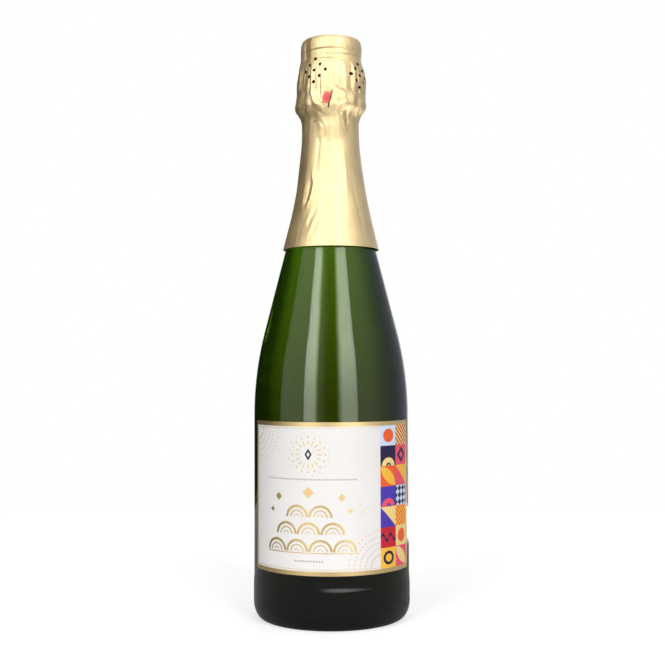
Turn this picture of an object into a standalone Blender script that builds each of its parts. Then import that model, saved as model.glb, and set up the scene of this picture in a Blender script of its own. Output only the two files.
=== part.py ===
# A 75 cl sparkling wine bottle with its wine, cork, wire cage, cap plate, foil and label.
# Metres, +Z up. The bottle stands on z = 0 and its axis is Z.
# An angle is measured round Z from the front, which faces -Y, towards +X.

import math

import bmesh
import bpy
from mathutils import Matrix, Vector

quarter_turn = math.pi / 2
full_turn = 2 * math.pi

# General
gap = 0.0003                    # between pieces that touch on the real object
cut_overrun = 0.004             # how far a cutter passes the wall it cuts
glass_steps = 36                # facets round the glass and the wine
foil_steps = 40                 # facets round the foil, four for each pleat
small_steps = 28                # facets round the cork and the cap plate
wire_sides = 1                  # bevel resolution of a wire, which gives six sides
turn_steps = 6                  # points along a wire for each turn of its twist

# Front label, which sets how tall the straight body is
label_lift = 0.0297             # from the base to the label's lower edge
label_height = 0.0805
label_headroom = 0.0023         # straight glass above the label
label_left_angle = math.radians(-70.0)
label_right_angle = math.radians(71.7)
label_paper = 0.00015

# Glass
body_radius = 0.0433
body_wall = 0.0047
heel_proud = 0.00035            # the heel stands outside the body, so that the label is not rubbed
heel_round_width = 0.0056
heel_round_height = 0.010
heel_band_height = 0.008
heel_fade_height = 0.008
standing_ring_width = 0.003
punt_depth = 0.032
dome_wall = 0.0055              # glass above the punt
floor_wall = 0.0065             # glass above the standing ring
cavity_corner_width = 0.0048
cavity_corner_height = 0.0135
shoulder_arc_radius = 0.187
cone_angle = math.radians(14.5)
neck_arc_radius = 0.268
neck_radius = 0.0153
neck_length = 0.0089            # straight neck under the wiring ring
wiring_ring_radius = 0.0166
wiring_ring_height = 0.009
wiring_ring_round = 0.001
crown_radius = 0.0143
crown_height = 0.0085           # from the wiring ring to the mouth
crown_round = 0.0015
bore_radius = 0.0089
mouth_round = 0.0006

# Wine
headspace = 0.080               # from the mouth down to the wine

# Cork, of a pressed body with two discs of whole cork under it
cork_head_radius = 0.01435
cork_head_height = 0.0165
cork_head_round_width = 0.0028
cork_head_round_height = 0.005
cork_depth = 0.024              # how deep the cork stands in the bore
cork_disc_height = 0.0059
cork_disc_chamfer = 0.0005

# Cap plate, on the cork and under the top ring of the cage
plate_thickness = 0.0003
plate_boss_radius = 0.0092
plate_boss_height = 0.0011
plate_rim_drop = 0.0009
plate_clearance = 0.0005        # from the plate's edge to the wires that pass it

# Wire cage
frame_wire = 0.0007
belt_wire = 0.001
wire_play = 0.0001              # between the two wires of a leg
top_ring_radius = 0.0110
leg_count = 4
leg_first_angle = math.radians(10.0)
leg_bend_radius = 0.0013
leg_turns = 3
leg_waist_drop = 0.010          # from the top ring down to where the legs start to spread
leg_spread_height = 0.0125      # over which the legs spread to pass the wiring ring
leg_eye_radius = 0.0009
leg_eye_length = 0.0025
belt_play = 0.0003              # from the neck to the belt
loop_angle = math.radians(-100.0)
loop_length = 0.0100
loop_radius = 0.0031
loop_root_offset = 0.0003       # from the hinge line to the wire nearest it
loop_root_radius = 0.00065
loop_clearance = 0.0004         # from the loop, folded out, to the edge of the neck foil

# Foil
foil_wall = 0.00025
foil_ease = 0.00045             # from the cage to the foil
hood_headroom = 0.0010          # from the top ring to the disc
hood_disc_wall = 0.00025
hood_fold_width = 0.0018        # foil folded in over the disc
hood_round_width = 0.0035
hood_round_height = 0.0055
hood_band_height = 0.0070       # the pressed bands round the cork
hood_band_count = 2
hood_band_depth = 0.00015
hood_spread_height = 0.0130
hood_spread_power = 1.3
tear_strip_height = 0.0060
bulge_proud = 0.0009            # how far the widest place stands outside the skirt
bulge_height = 0.0016
flare_height = 0.0100
flare_power = 0.8
neck_foil_length = 0.0811
foil_stand_high = 0.00058       # outside of the foil from the glass, under the bulge
foil_stand_low = 0.0015         # the same at the lower edge, where the foil stands loose
pleat_count = 10
pleat_depth = 0.00025
vent_radius = 0.00075
vent_pitch = 0.0033             # half the diagonal of the vent lattice's squares
vent_drop = 0.0082              # from the pinch down to the lattice's middle
vent_first_angle = math.radians(-33.0)
vent_sides = 6
tear_slit_width = 0.0007
tear_slit_lean = math.radians(12.0)
tear_slit_depth = 0.0056        # how far the slit runs down into the neck foil
tear_slit_angle = math.radians(0.2)
tear_tab_width = 0.0042
tear_tab_height = 0.0072
tear_tab_thickness = 0.00025
tear_tab_drop = 0.0020          # from the strip's upper edge down to the tab
tear_tab_margin = 0.0003        # from the middle of the slit to the tab

# Heights that follow from the sizes above, from the base up
shoulder_z = label_lift + label_height + label_headroom
cone_low_z = shoulder_z + shoulder_arc_radius * math.sin(cone_angle)
cone_low_radius = body_radius - shoulder_arc_radius * (1 - math.cos(cone_angle))
cone_high_radius = neck_radius + neck_arc_radius * (1 - math.cos(cone_angle))
cone_high_z = cone_low_z + (cone_low_radius - cone_high_radius) / math.tan(cone_angle)
neck_z = cone_high_z + neck_arc_radius * math.sin(cone_angle)
wiring_ring_z = neck_z + neck_length
mouth_z = wiring_ring_z + wiring_ring_height + crown_height
wine_z = mouth_z - headspace
cork_low_z = mouth_z - cork_depth
cork_body_low_z = cork_low_z + 2 * (cork_disc_height + gap)
cork_top_z = mouth_z + cork_head_height
plate_z = cork_top_z + gap
top_ring_z = plate_z + plate_thickness + gap + frame_wire / 2
hood_disc_z = top_ring_z + frame_wire / 2 + hood_headroom
hood_top_z = hood_disc_z + hood_disc_wall + gap + foil_wall
belt_z = wiring_ring_z - gap - belt_wire / 2
loop_hinge_z = belt_z + belt_wire / 2 + gap + belt_wire / 2
neck_foil_top_z = loop_hinge_z - belt_wire / 2 - loop_clearance
tear_strip_z = neck_foil_top_z + gap
skirt_low_z = tear_strip_z + tear_strip_height + gap
band_top_z = hood_top_z - hood_round_height
pinch_z = band_top_z - hood_band_height
spread_low_z = pinch_z - hood_spread_height
bulge_low_z = neck_foil_top_z - bulge_height
flare_low_z = bulge_low_z - flare_height
foil_low_z = neck_foil_top_z - neck_foil_length

# Radii that follow from the sizes above, from the glass out
heel_radius = body_radius + heel_proud
standing_ring_outer = heel_radius - heel_round_width
standing_ring_inner = standing_ring_outer - standing_ring_width
cavity_body_radius = body_radius - body_wall
valley_radius = cavity_body_radius - cavity_corner_width
cork_radius = bore_radius - gap
pair_offset = (frame_wire + wire_play) / 2
pair_radius = pair_offset + frame_wire / 2
leg_low_radius = wiring_ring_radius + gap + pair_radius
leg_high_radius = cork_head_radius + gap + pair_radius
plate_radius = leg_high_radius - frame_wire / 2 - gap - plate_clearance
belt_radius = neck_radius + belt_play + belt_wire / 2
loop_wrap_radius = wiring_ring_radius + gap + loop_clearance / 2 + belt_wire / 2
crown_foil_radius = leg_high_radius + pair_radius + foil_ease + foil_wall
skirt_foil_radius = leg_low_radius + pair_radius + foil_ease + foil_wall
bulge_radius = skirt_foil_radius + bulge_proud
hood_disc_radius = crown_foil_radius - hood_round_width + foil_wall
tear_tab_radius = bulge_radius + pleat_depth + gap


def blend(low, high, share):
    return low + (high - low) * share


def glass_radius(z):
    """Outside of the glass between the heel and the wiring ring."""
    if z <= shoulder_z:
        return body_radius
    if z <= cone_low_z:
        rise = z - shoulder_z
        return body_radius - shoulder_arc_radius + math.sqrt(shoulder_arc_radius**2 - rise**2)
    if z <= cone_high_z:
        return cone_low_radius - (z - cone_low_z) * math.tan(cone_angle)
    if z <= neck_z:
        drop = neck_z - z
        return neck_radius + neck_arc_radius - math.sqrt(neck_arc_radius**2 - drop**2)
    return neck_radius


def cavity_radius(z):
    """Inside of the glass above the heel. The wall thickens towards the neck."""
    share = min(max((z - shoulder_z) / (neck_z - shoulder_z), 0), 1)
    return glass_radius(z) - blend(body_wall, neck_radius - bore_radius, share)


def steps_between(low, high, count):
    """Even steps from low to high, with both ends."""
    return [blend(low, high, step / count) for step in range(count + 1)]


def corner(centre, width, height, start, end, count):
    """Points of an elliptical arc about a (radius, z) centre. An angle of 0 points outwards."""
    return [
        (centre[0] + width * math.cos(angle), centre[1] + height * math.sin(angle))
        for angle in steps_between(start, end, count)
    ]


def dome(radius, low_z, rise, count):
    """Half section of a punt, from its foot in to the axis: flat at both ends and steep between."""
    return [
        (radius * math.sin(angle), low_z + rise * math.cos(angle) ** 3)
        for angle in steps_between(quarter_turn, 0, count)
    ]


def on_bottle(radius, angle, z):
    return Vector((radius * math.sin(angle), -radius * math.cos(angle), z))


def finish(name, mesh, material, sharp=math.radians(35.0)):
    mesh.shade_smooth()
    mesh.set_sharp_from_angle(angle=sharp)
    obj = bpy.data.objects.new(name, mesh)
    bpy.context.scene.collection.objects.link(obj)
    obj.data.materials.append(material)
    return obj


def turned(name, profile, material, steps, ring=False, start=0.0, sweep=full_turn, pleated=False):
    """A half section of (radius, z) points spun round Z.

    A ring's section is a closed loop beside the axis, and any other runs from axis to axis.
    """
    builder = bmesh.new()
    points = [builder.verts.new(on_bottle(radius, start, z)) for radius, z in profile]
    edges = [builder.edges.new(pair) for pair in zip(points, points[1:])]
    if ring:
        edges.append(builder.edges.new((points[-1], points[0])))
    bmesh.ops.spin(
        builder, geom=points + edges, cent=(0, 0, 0), axis=(0, 0, 1),
        angle=sweep, steps=steps, use_merge=sweep == full_turn,
    )
    if not ring:
        on_axis = [vert for vert in builder.verts if vert.co.xy.length < gap / 2]
        bmesh.ops.remove_doubles(builder, verts=on_axis, dist=gap / 2)
    if sweep < full_turn:
        bmesh.ops.holes_fill(builder, edges=[edge for edge in builder.edges if edge.is_boundary])
    if pleated:
        fold_pleats(builder)
    bmesh.ops.recalc_face_normals(builder, faces=builder.faces)
    mesh = bpy.data.meshes.new(name)
    builder.to_mesh(mesh)
    builder.free()
    return finish(name, mesh, material)


def pleat_share(z):
    """How deep the pleats are: none at the pinch and on the neck, all at the widest place."""
    if z > neck_foil_top_z:
        return min(max((pinch_z - z) / (pinch_z - neck_foil_top_z), 0), 1)
    return min(max((z - flare_low_z) / (neck_foil_top_z - flare_low_z), 0), 1)


def fold_pleats(builder):
    for vert in builder.verts:
        angle = math.atan2(vert.co.x, -vert.co.y)
        uneven = 1 + math.cos(3 * angle + 1) / 3
        wave = math.cos(pleat_count * angle) * min(uneven, 1)
        radius = vert.co.xy.length
        grown = (radius + pleat_depth * pleat_share(vert.co.z) * wave) / radius
        vert.co.x *= grown
        vert.co.y *= grown


def walled(outline, wall):
    """An outline that runs down its outer side, and the same set in by the wall, as one closed loop."""
    inner = []
    for index, (radius, z) in enumerate(outline):
        before = outline[max(index - 1, 0)]
        after = outline[min(index + 1, len(outline) - 1)]
        along = Vector((after[0] - before[0], after[1] - before[1])).normalized()
        inner.append((radius + wall * along.y, z - wall * along.x))
    return outline + inner[::-1]


def wire(name, points, thickness, material, closed, hinge=Vector((0, 0, 0))):
    """A wire along points, as a curve with a round bevel. Its origin is on its hinge."""
    curve = bpy.data.curves.new(name, "CURVE")
    curve.dimensions = "3D"
    curve.bevel_depth = thickness / 2
    curve.bevel_resolution = wire_sides
    curve.use_fill_caps = True
    spline = curve.splines.new("POLY")
    spline.points.add(len(points) - 1)
    for spline_point, place in zip(spline.points, points):
        spline_point.co = (*(place - hinge), 1)
    spline.use_cyclic_u = closed
    curve.materials.append(material)
    obj = bpy.data.objects.new(name, curve)
    bpy.context.scene.collection.objects.link(obj)
    return obj


def cutter(name, builder):
    mesh = bpy.data.meshes.new(name)
    bmesh.ops.recalc_face_normals(builder, faces=builder.faces)
    builder.to_mesh(mesh)
    builder.free()
    obj = bpy.data.objects.new(name, mesh)
    bpy.context.scene.collection.objects.link(obj)
    obj.hide_render = True
    obj.display_type = "WIRE"
    return obj


def cut(obj, tool):
    boolean = obj.modifiers.new("cut_" + tool.name, "BOOLEAN")
    boolean.operation = "DIFFERENCE"
    boolean.solver = "EXACT"
    boolean.object = tool


def surface(name, colour, roughness, metallic=0.0, transmission=0.0, ior=1.5):
    material = bpy.data.materials.new(name)
    material.use_nodes = True
    shader = material.node_tree.nodes["Principled BSDF"]
    shader.inputs["Base Color"].default_value = (*colour, 1.0)
    shader.inputs["Roughness"].default_value = roughness
    shader.inputs["Metallic"].default_value = metallic
    shader.inputs["Transmission Weight"].default_value = transmission
    shader.inputs["IOR"].default_value = ior
    material.diffuse_color = (*colour, 1.0)
    return material


def cavity_outline(inset):
    """Inside of the glass from the neck down to the axis, drawn in by the inset."""
    wall = [(cavity_radius(z) - inset, z) for z in steps_between(neck_z, shoulder_z, 8)]
    corner_centre = (valley_radius, floor_wall + cavity_corner_height)
    heel = corner(
        corner_centre, cavity_corner_width - inset, cavity_corner_height - inset,
        0, -quarter_turn, 4,
    )
    rise = punt_depth + dome_wall - floor_wall
    return wall + heel + dome(valley_radius, floor_wall + inset, rise, 6)[1:]


def make_glass():
    heel_centre = (standing_ring_outer, heel_round_height)
    band_top = heel_round_height + heel_band_height
    bead_low = (wiring_ring_radius - wiring_ring_round, wiring_ring_z + wiring_ring_round)
    bead_high = (bead_low[0], wiring_ring_z + wiring_ring_height - wiring_ring_round)
    crown = (crown_radius - crown_round, mouth_z - crown_round)
    mouth = (bore_radius + mouth_round, mouth_z - mouth_round)
    profile = dome(standing_ring_inner, 0, punt_depth, 6)[::-1]
    profile += corner(heel_centre, heel_round_width, heel_round_height, -quarter_turn, 0, 4)
    profile += [(heel_radius, band_top), (body_radius, band_top + heel_fade_height)]
    profile += [(glass_radius(z), z) for z in steps_between(shoulder_z, cone_low_z, 5)]
    profile += [(glass_radius(z), z) for z in steps_between(cone_high_z, neck_z, 5)]
    profile += [(neck_radius, wiring_ring_z)]
    profile += corner(bead_low, wiring_ring_round, wiring_ring_round, -quarter_turn, 0, 2)
    profile += corner(bead_high, wiring_ring_round, wiring_ring_round, 0, quarter_turn, 2)
    profile += [(crown_radius, wiring_ring_z + wiring_ring_height + wiring_ring_round)]
    profile += corner(crown, crown_round, crown_round, 0, quarter_turn, 3)
    profile += corner(mouth, mouth_round, mouth_round, quarter_turn, 2 * quarter_turn, 2)
    profile += cavity_outline(0)
    return turned("glass_bottle", profile, dark_green_glass, glass_steps)


def make_wine():
    side = [point for point in cavity_outline(gap) if point[1] < wine_z - gap]
    profile = [(0, wine_z), (cavity_radius(wine_z) - gap, wine_z)] + side
    return turned("wine", profile, pale_wine, glass_steps)


def make_label():
    inner = body_radius + gap
    low, high = label_lift, label_lift + label_height
    section = [(inner, low), (inner + label_paper, low), (inner + label_paper, high), (inner, high)]
    sweep = label_right_angle - label_left_angle
    return turned(
        "front_label", section, label_stock, glass_steps // 2,
        ring=True, start=label_left_angle, sweep=sweep,
    )


def make_cork():
    centre = (cork_head_radius - cork_head_round_width, cork_top_z - cork_head_round_height)
    head_low_z = mouth_z + gap
    head = corner(centre, cork_head_round_width, cork_head_round_height, quarter_turn, 0, 4)
    profile = [(0, cork_top_z)] + head
    profile += [
        (cork_head_radius, head_low_z + crown_round),
        (crown_radius - crown_round, head_low_z),
        (cork_radius, head_low_z),
        (cork_radius, cork_body_low_z),
        (0, cork_body_low_z),
    ]
    pieces = [turned("cork_body", profile, pressed_cork, small_steps)]
    for name, low in (
        ("cork_disc_lower", cork_low_z),
        ("cork_disc_upper", cork_low_z + cork_disc_height + gap),
    ):
        high = low + cork_disc_height
        profile = [
            (0, high),
            (cork_radius, high),
            (cork_radius, low + cork_disc_chamfer),
            (cork_radius - cork_disc_chamfer, low),
            (0, low),
        ]
        pieces.append(turned(name, profile, whole_cork, small_steps))
    return pieces


def make_cap_plate():
    outline = [
        (0, plate_z + plate_thickness + plate_boss_height),
        (plate_boss_radius - plate_boss_height, plate_z + plate_thickness + plate_boss_height),
        (plate_boss_radius, plate_z + plate_thickness),
        (plate_radius - plate_thickness, plate_z + plate_thickness),
        (plate_radius, plate_z),
        (plate_radius, plate_z - plate_rim_drop),
    ]
    inside = [
        (plate_radius - plate_thickness, plate_z - plate_rim_drop),
        (plate_radius - plate_thickness, plate_z),
        (plate_boss_radius - plate_thickness, plate_z),
        (plate_boss_radius - plate_boss_height - plate_thickness / 2, plate_z + plate_boss_height),
        (0, plate_z + plate_boss_height),
    ]
    return turned("cap_plate", outline + inside, cap_lacquer, small_steps)


def leg_line():
    """Middle line of a leg in (radius, z), from the top ring down to its eye."""
    bend = (leg_high_radius - leg_bend_radius, top_ring_z - leg_bend_radius)
    waist_z = top_ring_z - leg_waist_drop
    spread_z = waist_z - leg_spread_height
    line = [(top_ring_radius + leg_bend_radius, top_ring_z)]
    line += corner(bend, leg_bend_radius, leg_bend_radius, quarter_turn, 0, 3)
    line += [(leg_high_radius, waist_z), (leg_low_radius, spread_z)]
    line += [(leg_low_radius, belt_z)]
    return [Vector(point) for point in line]


def along_line(line, length):
    """Place and direction on a line of straight stretches, a length from its start."""
    for low, high in zip(line, line[1:]):
        stretch = high - low
        if length <= stretch.length or high is line[-1]:
            direction = stretch.normalized()
            return low + direction * length, direction
        length -= stretch.length


def leg_wire(leg_angle, side):
    """One wire of a leg, from the top ring down to where the eye's round end starts."""
    line = leg_line()
    total = sum((high - low).length for low, high in zip(line, line[1:]))
    plain = sum((high - low).length for low, high in zip(line[:5], line[1:5]))
    radial = on_bottle(1, leg_angle, 0)
    tangent = Vector((math.cos(leg_angle), math.sin(leg_angle), 0))
    samples = [(line[0], line[1] - line[0], 0, pair_offset)]
    samples += [(place, line[3] - line[2], 0, pair_offset) for place in line[1:4]]
    for step in range(leg_turns * turn_steps + 1):
        share = step / (leg_turns * turn_steps)
        place, direction = along_line(line, blend(plain, total - leg_eye_length, share))
        samples.append((place, direction, share * leg_turns * full_turn, pair_offset))
    samples.append((line[-1], line[-1] - line[-2], 0, leg_eye_radius))
    points = []
    for place, direction, twist, offset in samples:
        along = radial * direction[0] + Vector((0, 0, direction[1]))
        outward = tangent.cross(along.normalized())
        middle = radial * place[0] + Vector((0, 0, place[1]))
        swing = tangent * math.cos(twist) + outward * math.sin(twist)
        points.append(middle + swing * offset * side)
    return points


def make_cage_frame():
    """The frame is one wire: round the top ring, down and up each leg, and on round the ring."""
    points = []
    inset = pair_offset / top_ring_radius
    turn_in = leg_bend_radius / top_ring_radius
    for leg in range(leg_count):
        leg_angle = leg_first_angle + leg * full_turn / leg_count
        next_angle = leg_angle + full_turn / leg_count
        tangent = Vector((math.cos(leg_angle), math.sin(leg_angle), 0))
        points += leg_wire(leg_angle, -1)
        for turn in steps_between(0, math.pi, 4)[1:-1]:
            place = on_bottle(leg_low_radius, leg_angle, belt_z)
            place -= tangent * leg_eye_radius * math.cos(turn)
            place.z -= leg_eye_radius * math.sin(turn)
            points.append(place)
        points += leg_wire(leg_angle, 1)[::-1]
        for angle in steps_between(leg_angle + inset + turn_in, next_angle - inset - turn_in, 6):
            points.append(on_bottle(top_ring_radius, angle, top_ring_z))
    return wire("cage_frame", points, frame_wire, bright_wire, closed=True)


def make_cage_belt():
    """The belt runs once round the neck, and both its ends turn out to the root of the loop."""
    spacing = loop_root_radius / belt_radius
    round_in = belt_wire / belt_radius
    start, end = loop_angle + spacing, loop_angle + full_turn - spacing
    root = [loop_wrap_radius + belt_wire / 4, belt_radius + belt_wire]
    points = [on_bottle(radius, start, belt_z) for radius in root]
    for angle in steps_between(start + round_in, end - round_in, 34):
        points.append(on_bottle(belt_radius, angle, belt_z))
    points += [on_bottle(radius, end, belt_z) for radius in root[::-1]]
    return wire("cage_belt", points, belt_wire, bright_wire, closed=False)


def make_cage_loop():
    """A closed eye, folded up against the wiring ring. Its root is on the hinge line."""
    low = loop_root_offset + loop_root_radius
    high = loop_length - belt_wire / 2 - loop_radius
    sides = steps_between(0, 1, 4)[1:-1]
    outline = []
    for turn in steps_between(math.pi, full_turn, 3):
        outline.append((loop_root_radius * math.cos(turn), low + loop_root_radius * math.sin(turn)))
    for share in sides:
        ease = (1 - math.cos(share * math.pi)) / 2
        outline.append((blend(loop_root_radius, loop_radius, ease), blend(low, high, share)))
    for turn in steps_between(0, math.pi, 7):
        outline.append((loop_radius * math.cos(turn), high + loop_radius * math.sin(turn)))
    for share in sides[::-1]:
        ease = (1 - math.cos(share * math.pi)) / 2
        outline.append((-blend(loop_root_radius, loop_radius, ease), blend(low, high, share)))
    points = [
        on_bottle(loop_wrap_radius, loop_angle + across / loop_wrap_radius, loop_hinge_z + up)
        for across, up in outline
    ]
    hinge = on_bottle(loop_wrap_radius, loop_angle, loop_hinge_z)
    loop = wire("cage_loop", points, belt_wire, bright_wire, closed=True, hinge=hinge)
    return loop, hinge


def hood_outline():
    """Outside of the hood from the fold over the disc down to the tear strip."""
    centre = (crown_foil_radius - hood_round_width, band_top_z)
    outline = [(centre[0] - hood_fold_width, hood_top_z)]
    outline += corner(centre, hood_round_width, hood_round_height, quarter_turn, 0, 3)
    for step, z in enumerate(steps_between(band_top_z, pinch_z, 2 * hood_band_count - 1)[1:]):
        outline.append((crown_foil_radius - hood_band_depth * ((step + 1) % 2), z))
    pinch_radius = outline[-1][0]
    for angle in steps_between(0, quarter_turn, 3)[1:]:
        share = math.sin(angle) ** hood_spread_power
        z = pinch_z - hood_spread_height * (1 - math.cos(angle))
        outline.append((blend(pinch_radius, skirt_foil_radius, share), z))
    return outline + [(strip_radius(skirt_low_z), skirt_low_z)]


def strip_radius(z):
    """Outside of the foil between the skirt and the widest place."""
    share = (spread_low_z - z) / (spread_low_z - neck_foil_top_z)
    return blend(skirt_foil_radius, bulge_radius, share**2)


def foil_radius(z):
    """Outside of the neck foil, which stands further off the glass towards its lower edge."""
    share = (flare_low_z - z) / (flare_low_z - foil_low_z)
    return glass_radius(z) + blend(foil_stand_high, foil_stand_low, share)


def neck_foil_outline():
    outline = [(bulge_radius, neck_foil_top_z), (bulge_radius, bulge_low_z)]
    for share in steps_between(0, 1, 4)[1:-1]:
        ease = (1 + math.cos(math.pi * share**flare_power)) / 2
        z = blend(bulge_low_z, flare_low_z, share)
        outline.append((blend(foil_radius(flare_low_z), bulge_radius, ease), z))
    return outline + [(foil_radius(z), z) for z in steps_between(flare_low_z, foil_low_z, 6)]


def make_vent_cutter():
    """Nine vents in a lattice stood on its corner, once between each two legs of the cage."""
    builder = bmesh.new()
    for side in range(leg_count):
        middle = vent_first_angle + side * full_turn / leg_count
        for row in (-1, 0, 1):
            for column in (-1, 0, 1):
                angle = middle + (row - column) * vent_pitch / skirt_foil_radius
                z = pinch_z - vent_drop + (row + column) * vent_pitch
                turn = Matrix.Rotation(angle, 4, "Z") @ Matrix.Rotation(quarter_turn, 4, "X")
                bmesh.ops.create_cone(
                    builder, cap_ends=True, segments=vent_sides, radius1=vent_radius,
                    radius2=vent_radius, depth=cut_overrun,
                    matrix=Matrix.Translation(on_bottle(skirt_foil_radius, angle, z)) @ turn,
                )
    return cutter("vent_cutter", builder)


def make_slit_cutter():
    """A leaning slit through the tear strip and down into the neck foil, open at the strip's top."""
    low = neck_foil_top_z - tear_slit_depth
    high = skirt_low_z
    builder = bmesh.new()
    size = Matrix.Diagonal((tear_slit_width, 2 * cut_overrun, high - low, 1))
    place = Matrix.Translation(on_bottle(bulge_radius, tear_slit_angle, (low + high) / 2))
    lean = Matrix.Rotation(tear_slit_angle, 4, "Z") @ Matrix.Rotation(tear_slit_lean, 4, "Y")
    bmesh.ops.create_cube(builder, size=1, matrix=place @ lean @ size)
    return cutter("slit_cutter", builder)


def make_hood():
    skirt = turned("hood_skirt", walled(hood_outline(), foil_wall), gold_foil, foil_steps,
                   ring=True, pleated=True)
    cut(skirt, make_vent_cutter())
    high = skirt_low_z - gap
    levels = steps_between(high, tear_strip_z, 2)
    outline = [(strip_radius(z), z) for z in levels]
    strip = turned("tear_strip", walled(outline, foil_wall), gold_foil, foil_steps,
                   ring=True, pleated=True)
    disc_profile = [
        (0, hood_disc_z + hood_disc_wall),
        (hood_disc_radius, hood_disc_z + hood_disc_wall),
        (hood_disc_radius, hood_disc_z),
        (0, hood_disc_z),
    ]
    disc = turned("hood_top_disc", disc_profile, gold_foil, foil_steps // 2)
    return skirt, strip, disc


def make_neck_foil():
    outline = neck_foil_outline()
    return turned("neck_foil", walled(outline, foil_wall), gold_foil, foil_steps,
                  ring=True, pleated=True)


def make_tear_tab():
    """The free end of the tear strip, which hangs over the neck foil beside the slit."""
    outer = tear_tab_radius + tear_tab_thickness
    high = tear_strip_z + tear_strip_height - tear_tab_drop
    low = high - tear_tab_height
    section = [(tear_tab_radius, low), (outer, low), (outer, high), (tear_tab_radius, high)]
    hinge_angle = tear_slit_angle - tear_tab_margin / tear_tab_radius
    sweep = tear_tab_width / tear_tab_radius
    tab = turned(
        "tear_tab", section, red_tape, 4, ring=True, start=hinge_angle - sweep, sweep=sweep,
    )
    hinge = on_bottle(tear_tab_radius + tear_tab_thickness / 2, hinge_angle, (low + high) / 2)
    tab.data.transform(Matrix.Translation(-hinge))
    return tab, hinge


def carrier(name, place=Vector((0, 0, 0)), parent=None):
    """An empty on a joint's axis, which carries the pieces that move together."""
    empty = bpy.data.objects.new(name, None)
    bpy.context.scene.collection.objects.link(empty)
    empty.location = place
    empty.parent = parent
    return empty


for old in list(bpy.data.objects):
    bpy.data.objects.remove(old)

dark_green_glass = surface("dark_green_glass", (0.010, 0.045, 0.008), 0.03, 0.0, 0.85, 1.52)
pale_wine = surface("pale_wine", (0.86, 0.78, 0.42), 0.02, 0.0, 0.9, 1.34)
label_stock = surface("label_stock", (0.90, 0.88, 0.86), 0.45)
gold_foil = surface("gold_foil", (0.78, 0.60, 0.32), 0.28, 1.0)
red_tape = surface("red_tape", (0.85, 0.06, 0.10), 0.45)
pressed_cork = surface("pressed_cork", (0.60, 0.40, 0.22), 0.85)
whole_cork = surface("whole_cork", (0.66, 0.45, 0.26), 0.80)
cap_lacquer = surface("cap_lacquer", (0.72, 0.56, 0.30), 0.30, 1.0)
bright_wire = surface("bright_wire", (0.62, 0.62, 0.64), 0.30, 1.0)

make_glass()
make_wine()
make_label()
neck_foil = make_neck_foil()

cork_slide = carrier("cork_slide")
for piece in make_cork():
    piece.parent = cork_slide

cage_slide = carrier("cage_slide", parent=cork_slide)
for piece in (make_cap_plate(), make_cage_frame(), make_cage_belt()):
    piece.parent = cage_slide
cage_loop, loop_hinge_place = make_cage_loop()
cage_loop.parent = carrier("loop_hinge", loop_hinge_place, cage_slide)

hood_slide = carrier("hood_slide", parent=cage_slide)
hood_skirt, tear_strip, hood_top_disc = make_hood()
for piece in (hood_skirt, tear_strip, hood_top_disc):
    piece.parent = hood_slide
slit_cutter = make_slit_cutter()
cut(tear_strip, slit_cutter)
cut(neck_foil, slit_cutter)
tear_tab, tab_hinge_place = make_tear_tab()
tear_tab.parent = carrier("tab_hinge", tab_hinge_place, hood_slide)
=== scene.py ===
import math
import bpy
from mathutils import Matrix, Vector, noise


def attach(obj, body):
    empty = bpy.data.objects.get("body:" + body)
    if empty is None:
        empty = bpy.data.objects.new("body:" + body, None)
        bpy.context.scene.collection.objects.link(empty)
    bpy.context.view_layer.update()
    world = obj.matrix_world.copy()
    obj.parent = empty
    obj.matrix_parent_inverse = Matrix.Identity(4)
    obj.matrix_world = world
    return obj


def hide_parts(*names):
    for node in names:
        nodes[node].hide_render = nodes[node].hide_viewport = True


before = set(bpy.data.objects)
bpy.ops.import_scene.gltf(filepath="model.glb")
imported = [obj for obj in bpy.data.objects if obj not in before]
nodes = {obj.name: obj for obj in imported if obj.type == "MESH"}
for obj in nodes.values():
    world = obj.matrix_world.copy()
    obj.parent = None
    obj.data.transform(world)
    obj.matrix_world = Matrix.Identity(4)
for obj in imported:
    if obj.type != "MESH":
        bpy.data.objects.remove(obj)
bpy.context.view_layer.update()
mm = 0.001
front = math.radians(-90)  # the front of the bottle faces -Y


# Camera, at the place and lens worked out from the curves of the label and the base
camera = {
    "distance": 640 * mm,
    "height": 139.8 * mm,
    "tilt": 1.69,  # degrees up
    "swing": -0.066,
    "lean": 0.16,  # the bottle leans this much to the left in the picture
    "lens": 61.39,
}
view = bpy.data.cameras.new("photoCamera")
view.lens = camera["lens"]
view.sensor_width = 36
view.clip_start, view.clip_end = 0.01, 50
cameraObject = bpy.data.objects.new("photoCamera", view)
bpy.context.scene.collection.objects.link(cameraObject)
cameraObject.location = (0, -camera["distance"], camera["height"])
cameraObject.rotation_euler = [
    math.radians(angle) for angle in (90 + camera["tilt"], camera["lean"], camera["swing"])
]
bpy.context.scene.camera = cameraObject
bpy.context.scene.view_settings.view_transform = "Standard"
print("camera placed")


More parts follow.
